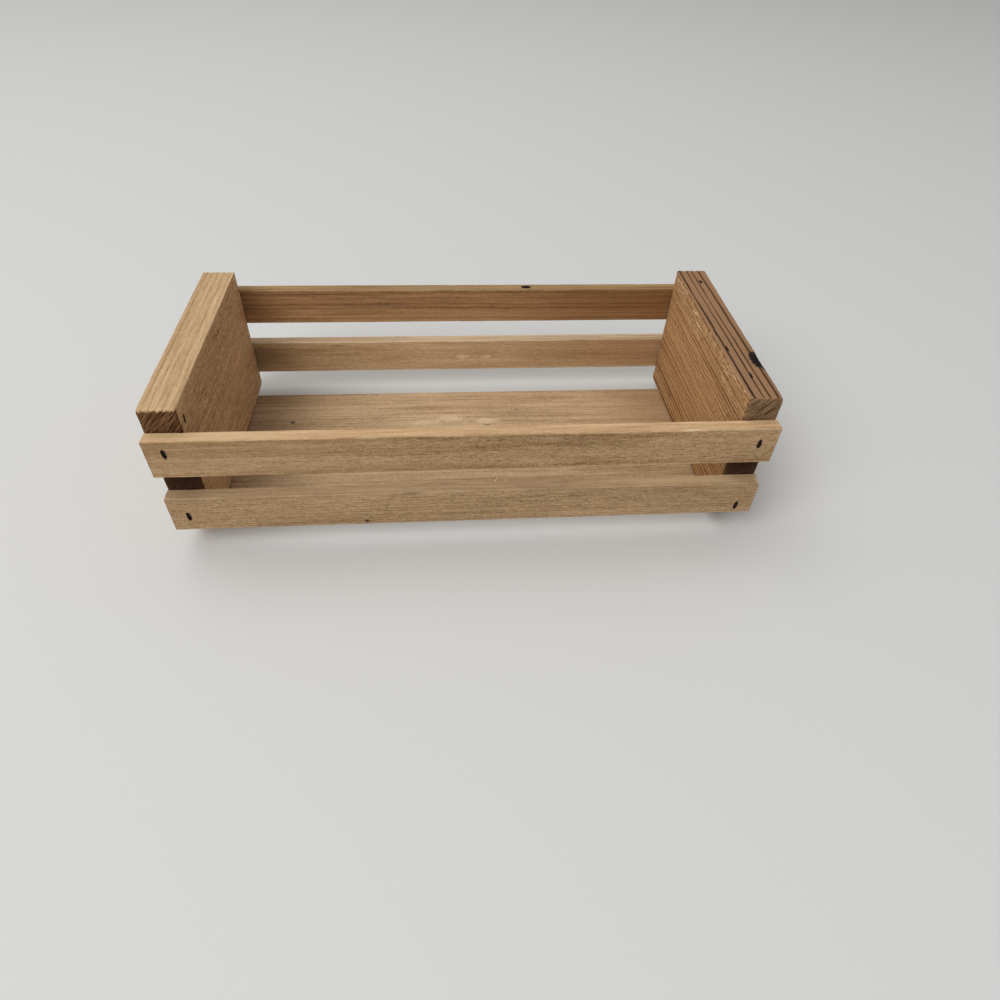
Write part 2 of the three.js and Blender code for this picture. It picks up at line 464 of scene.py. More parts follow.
def flagged(tree, ask, grid, shares, spot, half):
    """A board's grid with each point marked as end grain, as a sawn face and as an arris, from 0 to 1."""
    on_end = abs(shares[0]).worked("GREATER_THAN", OUTERMOST)
    on_face = abs(shares[2]).worked("GREATER_THAN", OUTERMOST)
    gap = [reach - abs(part) for part, reach in zip(spot, half)]
    least = gap[0].worked("MINIMUM", gap[1])
    most = gap[0].worked("MAXIMUM", gap[1])
    from_edge = least.worked("MAXIMUM", most.worked("MINIMUM", gap[2]))
    rounding = ask["Side End Corner"]
    flags = {
        "end_grain": on_end.worked("MAXIMUM", on_face * gap[0].ramp(rounding, rounding * END_GRAIN_FADE)),
        "sawn": on_face * gap[1].ramp(0.0, SAWN_MARGIN),
        "arris": from_edge.ramp(ARRIS_WIDTH, 0.0),
    }
    for name, value in flags.items():
        terms = {"Geometry": grid, "Name": name, "Value": value}
        grid = made(tree, "GeometryNodeStoreNamedAttribute", terms).outputs[0]
    return grid


EDGE_WEAR = Layer((0.06, 9.0, 13.0), draw=2.0)
CHIPS = Layer((0.14, 9.0, 13.0), draw=3.0, band=(0.58, 0.72))
WEAR_GAIN = 3.0
LEAST_RADIUS = 0.15
ALMOST_NOTHING = 0.000001


def rounded_edges(tree, ask, share_along, spot, half):
    """A point's places across and through a board, after its four long edges are worn round."""
    along, *section = spot
    upper, near = [part.worked("GREATER_THAN", 0.0) for part in section]
    above = between(ask["Upper Far Edge"], ask["Upper Near Edge"], near)
    below = between(ask["Lower Far Edge"], ask["Lower Near Edge"], near)
    edge_place = joined(tree, along, upper, near)
    wear = noise(tree, edge_place, EDGE_WEAR, ask["Seed"]) - NOISE_MIDDLE
    worn = (1.0 + wear * ask["Edge Wear"] * WEAR_GAIN) * (1.0 - share_along * ask["Edge Taper"])
    chips = noise(tree, edge_place, CHIPS, ask["Seed"]) * ask["Chips"]
    radius = (between(below, above, upper) * worn + chips).worked("MAXIMUM", LEAST_RADIUS)
    flats = [reach - radius for reach in half[1:]]
    cores = [part.kept(flat * -1.0, flat) for part, flat in zip(section, flats)]
    past = [part - core for part, core in zip(section, cores)]
    longest = abs(past[0]).worked("MAXIMUM", abs(past[1]))
    pull = longest / ((past[0] * past[0] + past[1] * past[1]).worked("SQRT") + ALMOST_NOTHING)
    return [core + part * pull for core, part in zip(cores, past)]


TEETH = Layer((0.0, 0.0, 0.7), draw=4.0, detail=3.0, band=(0.4, 0.75))
TOOTH_GAIN = 3.0


def rounded_ends(tree, ask, place, spot, half):
    """A point's places across and through a board, after its ends are worn round and torn."""
    along, across, deep = spot
    upper = across.worked("GREATER_THAN", 0.0)
    teeth = noise(tree, place, TEETH, ask["Seed"]) * ask["End Tear"] * TOOTH_GAIN
    corner = between(ask["Lower End Corner"], ask["Upper End Corner"] + teeth, upper)

    def drawn_in(part, reach, bend):
        """A place after the end's rounding has drawn it in."""
        into = ((abs(along) - half[0] + bend) / bend).kept()
        drop = bend * (1.0 - (1.0 - into * into).worked("SQRT"))
        return part * (reach - drop) / reach

    return drawn_in(across, half[1], corner), drawn_in(deep, half[2], ask["Side End Corner"])


WAVES = Layer((0.012, 0.04, 0.04), draw=6.0)
RIDGES = Layer((0.08, 0.8, 0.8), draw=7.0)
SAW_MARKS = Layer((0.45, 0.8, 0.8), draw=8.0)
TORN_END = Layer((0.02, 0.45, 0.45), draw=9.0, detail=3.0)
STROKE_DEPTH = 0.4
TORN_LENGTH = 4.0
ARRIS_SPARED = 0.6
SIDEWAYS = (0.0, 1.0, 1.0)


def worn_inwards(tree, ask, half_length):
    """How far a point of a shaped board moves: its sides are worn in, and its ends are torn back."""
    place = made(tree, "GeometryNodeInputPosition").outputs[0]
    seed = ask["Seed"]
    flag = {}
    for name in ("sawn", "arris"):
        reading = made(tree, "GeometryNodeInputNamedAttribute", {"Name": name}, data_type="FLOAT")
        flag[name] = Field(tree, reading.outputs[0])
    depth = (1.0 - growth_rings(tree, place, ask)) * ask["Ring Relief"]
    depth = depth + noise(tree, place, WAVES, seed) * ask["Waves"]
    depth = depth + noise(tree, place, RIDGES, seed) * ask["Ridges"]
    depth = depth + noise(tree, place, SAW_MARKS, seed) * ask["Saw Marks"] * flag["sawn"]
    depth = depth * (1.0 - flag["arris"] * ARRIS_SPARED)
    outwards = vector(tree, "MULTIPLY", made(tree, "GeometryNodeInputNormal").outputs[0], SIDEWAYS)
    strokes = saw_strokes(tree, place, seed) * STROKE_DEPTH + STROKE_DEPTH
    torn = ((noise(tree, place, TORN_END, seed) + strokes) * ask["End Tear"]).worked("MAXIMUM", 0.0)
    along = parts(tree, place)[0]
    near_end = 1.0 - ((half_length - abs(along)) / TORN_LENGTH).kept()
    back = torn * near_end * along.worked("SIGN") * -1.0
    return vector(tree, "ADD", scaled(tree, outwards, depth * -1.0), joined(tree, back, 0.0, 0.0))


def in_metres(tree, shape):
    """A shape that was made in millimetres, at its real size."""
    return made(tree, "GeometryNodeTransform", {"Geometry": shape, "Scale": (MM, MM, MM)}).outputs[0]


def hand_over(tree, out, shape, material):
    """Ends a tree: makes its instances real and sets their material."""
    plain = made(tree, "GeometryNodeRealizeInstances", {"Geometry": shape}).outputs[0]
    dressed = made(tree, "GeometryNodeSetMaterial", {"Geometry": plain, "Material": material})
    feed(tree, out.inputs[0], dressed.outputs[0])


GRID_SPREAD = 0.25


def weathered_board():
    """The tree of one board: a fine grid, drawn in to worn edges and torn ends and roughened by its grain.

    Along, across and through the board are X, Y and Z. Upper is +Y and near is +Z. Sizes are in
    millimetres, and the surface is only ever worn inwards.
    """
    asks = {**BOARD, **RING_FIGURE, "Wood": "NodeSocketMaterial"}
    gives = {"Board": "NodeSocketGeometry"}
    tree, ask, out = start_tree("weathered board", "GeometryNodeTree", asks, gives)
    cube = {"Size": joined(tree, ask["Length"], ask["Width"], ask["Thickness"])}
    for axis, way in zip("XYZ", ("Along", "Across", "Through")):
        cube[f"Vertices {axis}"] = ask[f"Steps {way}"]
    grid = made(tree, "GeometryNodeMeshCube", cube).outputs["Mesh"]
    place = made(tree, "GeometryNodeInputPosition").outputs[0]
    half = [ask[label] * 0.5 for label in ("Length", "Width", "Thickness")]
    shares = [part / reach for part, reach in zip(parts(tree, place), half)]
    spread = [share * (1.0 + GRID_SPREAD) - share * share * share * GRID_SPREAD for share in shares]
    spot = [share * reach for share, reach in zip(spread, half)]
    grid = flagged(tree, ask, grid, shares, spot, half)
    along = spot[0]
    across, deep = rounded_edges(tree, ask, shares[0], spot, half)
    across, deep = rounded_ends(tree, ask, place, (along, across, deep), half)
    shape = {"Geometry": grid, "Position": joined(tree, along, across, deep)}
    shaped = made(tree, "GeometryNodeSetPosition", shape).outputs[0]
    wear = {"Geometry": shaped, "Offset": worn_inwards(tree, ask, half[0])}
    rough = made(tree, "GeometryNodeSetPosition", wear).outputs[0]
    smooth = made(tree, "GeometryNodeSetShadeSmooth", {"Geometry": in_metres(tree, rough)}).outputs[0]
    hand_over(tree, out, smooth, ask["Wood"])
    return tree


WEATHERED_BOARD = weathered_board()


def plain_mesh(piece):
    """Turns what a piece's modifiers make of it into its own mesh, and takes the modifiers away."""
    graph = bpy.context.evaluated_depsgraph_get()
    mesh = bpy.data.meshes.new_from_object(piece.evaluated_get(graph), preserve_all_data_layers=True,
                                           depsgraph=graph)
    piece.modifiers.clear()
    piece.data = mesh


def put(name, data):
    """A new object in the scene."""
    thing = bpy.data.objects.new(name, data)
    bpy.context.scene.collection.objects.link(thing)
    return thing


def grown(name, tree, values, mesh=None):
    """An object whose mesh a Geometry Nodes tree makes from these named values, with one material slot."""
    piece = put(name, mesh or bpy.data.meshes.new(name))
    work = piece.modifiers.new(tree.name, "NODES")
    work.node_group = tree
    for item in tree.interface.items_tree:
        if item.in_out == "INPUT" and item.name in values:
            work[item.identifier] = values[item.name]
    plain_mesh(piece)
    finish = piece.data.materials[-1]
    piece.data.materials.clear()
    piece.data.materials.append(finish)
    return piece


PRESS_PEAK = 1.2
PRESS_FALL = 1.6


def press_marks(piece, marks):
    """Sinks a board's marks into its surface, deepest in the middle of each."""
    points = piece.data.vertices
    places = np.empty(len(points) * 3)
    points.foreach_get("co", places)
    places = places.reshape(-1, 3)
    for mark in marks:
        away = (places / MM - np.array(mark.at)) / np.array(mark.reach)
        share = np.clip(PRESS_PEAK - PRESS_FALL * (away ** 2).sum(1), 0.0, 1.0)
        places += share[:, None] * np.array(mark.push) * MM
    points.foreach_set("co", places.ravel())
    piece.data.update()


STAPLE_CROWN = 4.8 * MM
STAPLE_WIRE = 1.0 * MM
STAPLE_LEG = 25.0 * MM
STAPLE_CLEARANCE = 0.25 * MM
STAPLE_TIP = 1.0 * MM
POCKET_MOUTH = 3.0 * MM
INTO_BACK = (0.0, 1.0, 0.0)
INTO_FRONT = (0.0, -1.0, 0.0)
UPWARDS = (0.0, 0.0, 1.0)
ENDS = ("left", "right")
Driven = namedtuple("Driven", "crown along into")


def driven_staple(name, into):
    """Where a staple sits: its crown's middle, the crown's direction and the way that it was driven."""
    points = np.array([vertex.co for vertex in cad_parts[name].data.vertices])
    depth = points @ np.array(into)
    tips = points[depth > depth.max() - STAPLE_TIP]
    along = np.linalg.svd(tips - tips.mean(0))[2][0]
    crown = tips.mean(0) + np.array(into) * (depth.min() - (tips @ np.array(into)).mean())
    return Driven(Vector(crown), Vector(along), Vector(into))


STAPLES = {}
for end in ENDS:
    ways = {}
    for row in ("upper", "lower"):
        ways[f"front_{row}_{end}_staple"] = INTO_BACK
        ways[f"back_{row}_{end}_staple"] = INTO_FRONT
    for number in (1, 2, 3):
        ways[f"bottom_{end}_staple_{number}"] = UPWARDS
    for name, into in ways.items():
        STAPLES[name] = driven_staple(name, into)


def cut_pockets(piece, names):
    """Cuts the slits that these staples were driven into: a U as wide as the wire, open at the face."""
    room = STAPLE_CLEARANCE
    wide = STAPLE_CROWN / 2 + room
    half_slit = STAPLE_WIRE / 2 + room
    bore = wide - STAPLE_WIRE - 2 * room
    floor = STAPLE_WIRE + room
    foot = STAPLE_LEG + room
    outline = [(-wide, -POCKET_MOUTH), (wide, -POCKET_MOUTH), (wide, foot), (bore, foot),
               (bore, floor), (-bore, floor), (-bore, foot), (-wide, foot)]
    work = bmesh.new()
    for name in names:
        staple = STAPLES[name]
        across = staple.along.cross(staple.into) * half_slit
        sides = []
        for middle in (staple.crown - across, staple.crown + across):
            corners = [middle + staple.along * x + staple.into * y for x, y in outline]
            sides.append([work.verts.new(corner) for corner in corners])
        work.faces.new(sides[0])
        work.faces.new(sides[1][::-1])
        for index in range(len(outline)):
            before = index - 1
            work.faces.new((sides[0][index], sides[0][before], sides[1][before], sides[1][index]))
    bmesh.ops.recalc_face_normals(work, faces=work.faces)
    cutter = put("pocket cutter", bpy.data.meshes.new("pocket cutter"))
    work.to_mesh(cutter.data)
    work.free()
    cut = piece.modifiers.new("pockets", "BOOLEAN")
    cut.operation = "DIFFERENCE"
    cut.solver = "MANIFOLD"
    cut.object = cutter
    plain_mesh(piece)
    bpy.data.objects.remove(cutter)


# The dark mark at each staple: a real stain round the slit, and painted shade down the slit's walls
STAIN_AND_SHADE_REACH = 0.85
STAIN_AND_SHADE_LENGTH = 3.8
STAIN_AND_SHADE_DENT = 0.3
STAIN_AND_SHADE_STRENGTH = 0.97


def staple_stain_and_shade(name):
    """A real dark stain round a staple's slit, and painted shade down the slit's walls."""
    staple = STAPLES[name]
    reach = [between(STAIN_AND_SHADE_REACH, STAIN_AND_SHADE_LENGTH, max(abs(along), abs(into)))
             for along, into in zip(staple.along, staple.into)]
    return Mark(staple.crown / MM, reach, staple.into * STAIN_AND_SHADE_DENT, STAIN_AND_SHADE_STRENGTH, DARK_MARK)


SHARP_TURN = math.radians(50)


def sawn_board(node, turn, sizes, figure, look, marks, staples, fray=None):
    """Makes one board of the crate in its place, with its wood, its marks and its staple pockets."""
    low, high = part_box(node)
    centre = (low + high) / 2
    length, width, thickness = [abs(side) for side in turn.to_matrix().transposed() @ (high - low) / MM]
    marks = [*marks, *map(staple_stain_and_shade, staples)]
    wood = softwood(node.replace("_", " ") + " wood", centre, turn, figure, look, marks, fray)
    values = {**sizes, **figure, "Length": length, "Width": width, "Thickness": thickness, "Wood": wood}
    piece = grown(f"{node}_wood", WEATHERED_BOARD, values)
    piece.data.transform(Matrix.Translation(centre) @ turn.to_matrix().to_4x4())
    press_marks(piece, marks)
    cut_pockets(piece, staples)
    piece.data.set_sharp_from_angle(angle=SHARP_TURN)
    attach(piece, "root")
    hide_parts(node)


def box_corners(node):
    """A CAD node's lowest and highest corners, in millimetres."""
    low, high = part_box(node)
    return low / MM, high / MM


QUARTER = math.pi / 2
END_TURN = Euler((QUARTER, 0.0, QUARTER))
END_GRID = {"Steps Along": 220, "Steps Across": 132, "Steps Through": 36}
LEFT_SIZES = {
    **END_GRID,
    "Upper Near Edge": 0.9,
    "Upper Far Edge": 1.4,
    "Lower Near Edge": 3.0,
    "Lower Far Edge": 3.0,
    "Upper End Corner": 1.6,
    "Lower End Corner": 4.0,
    "Side End Corner": 1.5,
    "Edge Wear": 0.2,
    "Edge Taper": 0.5,
    "End Tear": 0.5,
}
LEFT_FIGURE = {"Pith Across": -85.0, "Pith Deep": 85.0, "Ring Width": 1.95, "Wander": 0.4, "Seed": 1.0}
LEFT_LOOK = {
    "Earlywood": (0.8, 0.52, 0.285, 1.0),
    "Latewood": (0.29, 0.15, 0.06, 1.0),
    "Edge Tint": (0.94, 1.01, 1.03, 1.0),
    "End Tint": (0.27, 0.21, 0.165, 1.0),
    "Rings": 0.4,
    "Edge Rings": 0.5,
    "Strokes": 1.9,
    "Grain": 0.35,
    "Fibres": 0.4,
    "Dashes": 0.8,
    "Dash Length": 12.0,
    "Nap": 0.55,
    "Wear": 0.1,
}
# Painted shade on the end boards' front ends in the gap between the slats: its height and its reach in
# millimetres
GAP_HEIGHT = 46.5
GAP_SHADE_REACH = (34.0, 4.0, 22.0)


def gap_shade(low, high):
    """Painted shade on an end board's front end, where it shows in the gap between the two slats."""
    return wash(((low.x + high.x) / 2, low.y, GAP_HEIGHT), GAP_SHADE_REACH, 1.0, GRIME_AND_SHADE)


def staples_of(end):
    """The names of the staples that hold one end board."""
    return [name for name in STAPLES if f"_{end}_" in name]


LEFT_LOW, LEFT_HIGH = box_corners("left_end_board")
LEFT_MARKS = [
    Mark((LEFT_HIGH.x, -63.4, 79.0), (1.4, 1.4, 3.6), (-0.6, 0.0, 0.0), 1.0, DARK_MARK),
    # painted shade in the gap between the front slats
    gap_shade(LEFT_LOW, LEFT_HIGH),
]
sawn_board("left_end_board", END_TURN, LEFT_SIZES, LEFT_FIGURE, LEFT_LOOK, LEFT_MARKS,
           staples_of("left"))

# Right end board
# The twin of the left board out of redder wood, with dark latewood lines along its top edge and its face.
# Its top has small splits, a burnt-looking knot sits on its outer edge, and its inner face is torn pale.

RIGHT_SIZES = {
    **END_GRID,
    "Upper Near Edge": 2.0,
    "Upper Far Edge": 0.8,
    "Lower Near Edge": 3.0,
    "Lower Far Edge": 3.0,
    "Upper End Corner": 0.6,
    "Lower End Corner": 6.0,
    "Side End Corner": 2.2,
    "Edge Wear": 0.2,
    "Edge Taper": 0.8,
    "Ring Relief": 0.25,
    "End Tear": 0.6,
}
RIGHT_FIGURE = {
    "Pith Across": -122.0,
    "Pith Deep": 88.0,
    "Ring Width": 2.1,
    "Late Share": 0.32,
    "Unevenness": 0.55,
    "Wander": 0.35,
    "Seed": 2.0,
}
RIGHT_LOOK = {
    "Earlywood": (0.57, 0.325, 0.145, 1.0),
    "Latewood": (0.175, 0.08, 0.025, 1.0),
    "Edge Tint": (0.59, 0.575, 0.68, 1.0),
    "End Tint": (0.56, 0.61, 0.72, 1.0),
    "Rings": 1.4,
    "Edge Rings": 3.2,
    "Strokes": 1.7,
    "Streaks": 0.35,
    "Grain": 0.4,
    "Fibres": 0.25,
    "Dashes": 0.2,
    "Nap": 0.6,
    "Wear": 0.1,
}
LIFTED = Layer((0.1, 1.2, 1.2), band=(0.56, 0.66))
SCRATCHES = Layer((1.1, 0.16, 1.1), draw=3.0, band=(0.58, 0.68))
TORN_PATCHES = Layer((0.035, 0.12, 0.12), draw=7.0, band=(0.42, 0.6))
TORN_CORE = 0.3
RIGHT_TORN = {"Face": -1.0, "Height": 36.0, "Spread": 14.0, "Scratches": 0.6, "Seed": 2.0}


def torn_fibres():
    """The shader group of pale torn fibres and scratches in a band along one face of a board: a mask."""
    asks = {"Place": ORIGIN, "Sawn": 1.0, **RIGHT_TORN}
    tree, ask, out = start_tree("torn fibres", "ShaderNodeTree", asks, {"Mask": "NodeSocketFloat"})
    place = ask["Place"]
    lifted = noise(tree, place, LIFTED, ask["Seed"])
    scratches = noise(tree, place, SCRATCHES, ask["Seed"]) * ask["Scratches"]
    patches = noise(tree, place, TORN_PATCHES, ask["Seed"])
    _, across, deep = parts(tree, place)
    band = (abs(across - ask["Height"]) / ask["Spread"]).ramp(1.0, TORN_CORE)
    facing = (deep * ask["Face"]).worked("GREATER_THAN", 0.0) * ask["Sawn"]
    feed(tree, out.inputs["Mask"], lifted.worked("MAXIMUM", scratches) * patches * band * facing)
    return tree


TORN_FIBRES = torn_fibres()


def frayed(tree, place, sawn, colour):
    """The right board's colour, with pale torn fibres near the top of its inner face."""
    torn = made(tree, "ShaderNodeGroup", {"Place": place, "Sawn": sawn}, node_tree=TORN_FIBRES)
    return mixed(tree, torn.outputs["Mask"], colour, PALE_MARK)


RIGHT_LOW, RIGHT_HIGH = box_corners("right_end_board")
SPLIT_SUNK = 0.3
SPLIT_DEPTH = 2.0
SPLIT_PUSH = (0.0, 0.0, -0.6)
KNOT_ALONG = -35.0


def split(x, y, half_width, half_length):
    """A short open split along the grain of the right board's top edge."""
    at = (x, y, RIGHT_HIGH.z - SPLIT_SUNK)
    return Mark(at, (half_width, half_length, SPLIT_DEPTH), SPLIT_PUSH, 1.0, DARK_MARK)


RIGHT_MARKS = [
    split(151.0, 54.9, 1.2, 2.4),
    split(141.6, -6.5, 0.7, 4.4),
    split(142.7, -23.5, 0.75, 3.6),
    split(146.9, -49.3, 0.75, 3.4),
    wash((RIGHT_HIGH.x, KNOT_ALONG, 88.0), (2.5, 15.0, 9.0), 0.8, GRIME_AND_SHADE),
    Mark((156.4, KNOT_ALONG, 88.6), (6.0, 9.6, 4.6), (-0.05, 0.0, -0.3), 1.0, DARK_MARK, ragged=0.4),
    # painted shade in the gap between the front slats
    gap_shade(RIGHT_LOW, RIGHT_HIGH),
]
sawn_board("right_end_board", END_TURN, RIGHT_SIZES, RIGHT_FIGURE, RIGHT_LOOK,
           RIGHT_MARKS, staples_of("right"), frayed)

# Torn slivers of the right end board
# Where the plane met the grain of the board's inner top edge it lifted short pale slivers. They are part
# of the board: each is rooted in its face and points forwards along the grain.

SLIVER_SIDES = 4
SLIVER_LEAST = (0.5, 0.5, 0.4)
SLIVER_MOST = (1.2, 0.8, 1.3)
CLUMPS = Layer((0.0, 0.09, 0.2), detail=1.0)
FIBRE_SHADE = Layer((0.5, 0.3, 0.5), detail=3.0, band=(0.35, 0.65))
FRESH_FIBRE = (0.87, 0.66, 0.43, 1.0)
AGED_FIBRE = (0.55, 0.34, 0.16, 1.0)
FRESH_ROUGHNESS = 0.7
AGED_ROUGHNESS = 0.9


def pale_fibre():
    """The material of fresh wood fibre, torn open after the faces had gone brown."""
    material, tree, finish, place = start_material("pale fibre")
    shade = noise(tree, scaled(tree, place, 1.0 / MM), FIBRE_SHADE)
    feed(tree, finish.inputs["Base Color"], mixed(tree, shade, FRESH_FIBRE, AGED_FIBRE))
    feed(tree, finish.inputs["Roughness"], between(FRESH_ROUGHNESS, AGED_ROUGHNESS, shade))
    finish.inputs["Specular IOR Level"].default_value = WOOD_GLOSS
    return material


def torn_slivers():
    """The tree of torn slivers: thin spikes strewn along a line, each turned and sized by chance."""
    asks = {"Start": ORIGIN, "End": ORIGIN, "Count": 1, "Scatter": ORIGIN, "Way": (0.0, -1.0, 0.0),
            "Spread": ORIGIN, "Length": 4.0, "Thickness": 0.3, "Bare": 0.0, "Seed": 0,
            "Wood": "NodeSocketMaterial"}
    gives = {"Slivers": "NodeSocketGeometry"}
    tree, ask, out = start_tree("torn slivers", "GeometryNodeTree", asks, gives)

    def chance(low, high, draw):
        """A vector drawn by chance for each sliver. The node has its limits at 0 and 1, its seed at 8."""
        terms = {0: low, 1: high, 8: ask["Seed"] + draw}
        return made(tree, "FunctionNodeRandomValue", terms, data_type="FLOAT_VECTOR").outputs[0]

    line = {"Count": ask["Count"], "Start Location": ask["Start"], "Offset": ask["End"]}
    roots = made(tree, "GeometryNodeMeshLine", line, mode="END_POINTS").outputs[0]
    shift = chance(scaled(tree, ask["Scatter"], -1.0), ask["Scatter"], draw=1)
    roots = made(tree, "GeometryNodeSetPosition", {"Geometry": roots, "Offset": shift}).outputs[0]
    lean = chance(scaled(tree, ask["Spread"], -1.0), ask["Spread"], draw=2)
    way = vector(tree, "ADD", ask["Way"], lean)
    turn = made(tree, "FunctionNodeAlignRotationToVector", {"Vector": way}, axis="Z").outputs[0]
    reach = joined(tree, ask["Thickness"], ask["Thickness"], ask["Length"])
    size = vector(tree, "MULTIPLY", chance(SLIVER_LEAST, SLIVER_MOST, draw=3), reach)
    cone = {"Vertices": SLIVER_SIDES, "Radius Top": 0.0, "Radius Bottom": 0.5, "Depth": 1.0}
    spike = made(tree, "GeometryNodeMeshCone", cone).outputs["Mesh"]
    place = made(tree, "GeometryNodeInputPosition").outputs[0]
    clumps = noise(tree, place, CLUMPS).worked("GREATER_THAN", ask["Bare"])
    spread = {"Points": roots, "Selection": clumps, "Instance": spike, "Rotation": turn, "Scale": size}
    strewn = made(tree, "GeometryNodeInstanceOnPoints", spread).outputs[0]
    hand_over(tree, out, in_metres(tree, strewn), ask["Wood"])
    return tree


TORN_SLIVERS = torn_slivers()
PALE_FIBRE = pale_fibre()


def slivers(name, values):
    """One group of torn slivers on a board."""
    piece = grown(name, TORN_SLIVERS, {**values, "Wood": PALE_FIBRE})
    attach(piece, "root")


SLIVER_ROOT = RIGHT_LOW.x + 0.4
SLIVER_HEIGHT = RIGHT_HIGH.z - 3.6
RIGHT_SLIVERS = {
    "Start": (SLIVER_ROOT, -62.0, SLIVER_HEIGHT),
    "End": (SLIVER_ROOT, 60.0, SLIVER_HEIGHT),
    "Count": 280,
    "Scatter": (0.15, 5.0, 2.6),
    "Bare": 0.5,
    "Way": (-0.12, -1.0, 0.05),
    "Spread": (0.08, 0.35, 0.3),
    "Length": 5.0,
    "Thickness": 0.36,
    "Seed": 3,
}
slivers("right_end_slivers", RIGHT_SLIVERS)

# Front slats
# Two thin strips, rough from the saw, laid across the end boards' front ends with an open gap between
# them. Each is held by one staple at either end, and the lower one has a splinter on its inner edge.

SLAT_TURN = Euler((QUARTER, 0.0, 0.0))
SLAT_SIZES = {
    "Steps Along": 560,
    "Steps Across": 46,
    "Steps Through": 18,
    "Ring Relief": 0.05,
    "End Tear": 0.3,
}
FRONT_UPPER_FIGURE = {
    "Pith Across": 5.0,
    "Pith Deep": -60.0,
    "Ring Width": 3.0,
    "Wander": 0.6,
    "Seed": 3.0,
}
FRONT_LOWER_FIGURE = {
    "Pith Across": -150.0,
    "Pith Deep": 4.0,
    "Ring Width": 1.35,
    "Late Share": 0.8,
    "Unevenness": 0.3,
    "Wander": 0.3,
    "Seed": 4.0,
}
FRONT_UPPER_LOOK = {
    "Earlywood": (0.6, 0.405, 0.235, 1.0),
    "Latewood": (0.205, 0.11, 0.04, 1.0),
    "Edge Tint": (1.38, 1.38, 1.36, 1.0),
    "Rings": 0.3,
    "Edge Rings": 0.4,
    "Dashes": 0.4,
}
FRONT_LOWER_LOOK = {
    "Earlywood": (0.61, 0.415, 0.243, 1.0),
    "Latewood": (0.212, 0.116, 0.044, 1.0),
    "Edge Tint": (0.95, 0.98, 1.02, 1.0),
    "Rings": 0.4,
    "Edge Rings": 0.3,
    "Grain": 0.25,
}
DUSTY_TAN = (0.5, 0.32, 0.16, 1.0)
DAMP_BROWN = (0.27, 0.15, 0.06, 1.0)
RUBBED_BROWN = (0.4, 0.23, 0.1, 1.0)
FRONT_UPPER_LOW, FRONT_UPPER_HIGH = box_corners("front_upper_slat")
FRONT_LOWER_LOW, FRONT_LOWER_HIGH = box_corners("front_lower_slat")
ABOVE_ARRIS = FRONT_UPPER_HIGH.z + 0.3
FRONT_UPPER_MARKS = [
    wash((-115.0, FRONT_UPPER_LOW.y, 68.0), (80.0, 6.0, 18.0), 0.3, DUSTY_TAN),
    wash((-40.0, FRONT_UPPER_LOW.y, FRONT_UPPER_LOW.z), (110.0, 6.0, 8.0), 0.45, DAMP_BROWN),
    wash((-125.0, -74.0, ABOVE_ARRIS), (80.0, 6.0, 2.5), 0.5, PALE_MARK),
    wash((20.0, -71.8, FRONT_UPPER_HIGH.z), (34.0, 0.9, 1.5), 0.5, RUBBED_BROWN),
    fleck((110.0, FRONT_UPPER_LOW.y, ABOVE_ARRIS), (9.0, 2.2, 1.2), 0.5),
]
FRONT_LOWER_MARKS = [
    Mark((-57.1, FRONT_LOWER_LOW.y, 18.8), (1.4, 1.7, 1.1), (0.0, 0.3, 0.0), 0.8, DARK_MARK),
    wash((-32.9, FRONT_LOWER_LOW.y, 38.2), (10.0, 2.0, 1.2), 0.5, GRIME_AND_SHADE),
    wash((115.0, -74.0, FRONT_LOWER_HIGH.z), (75.0, 6.0, 2.5), 0.4, PALE_MARK),
    Mark((FRONT_LOWER_HIGH.x, -76.0, FRONT_LOWER_HIGH.z), (4.0, 4.5, 4.0), (-0.7, 0.0, -0.6), 0.5,
         PALE_MARK, ragged=0.3, soft=0.6),
]
SPLINTER_ROOT = (12.7, FRONT_LOWER_HIGH.y - 0.2, FRONT_LOWER_HIGH.z - 0.6)
FRONT_SPLINTER = {
    "Start": SPLINTER_ROOT,
    "End": SPLINTER_ROOT,
    "Way": (0.35, 0.6, 0.55),
    "Length": 7.5,
    "Thickness": 1.3,
}


def slat(side, row, figure, look, marks):
    """One slat of the crate's front or back, upper or lower."""
    names = [f"{side}_{row}_{end}_staple" for end in ENDS]
    sawn_board(f"{side}_{row}_slat", SLAT_TURN, SLAT_SIZES, figure, look, marks, names)


slat("front", "upper", FRONT_UPPER_FIGURE, FRONT_UPPER_LOOK, FRONT_UPPER_MARKS)
slat("front", "lower", FRONT_LOWER_FIGURE, FRONT_LOWER_LOOK, FRONT_LOWER_MARKS)
slivers("front_lower_splinter", FRONT_SPLINTER)

# Back slats
# Two more of the same strips across the back ends, stapled in the same way: the upper one of redder,
# wavier wood with a notch in its top edge, the lower one smooth and golden.

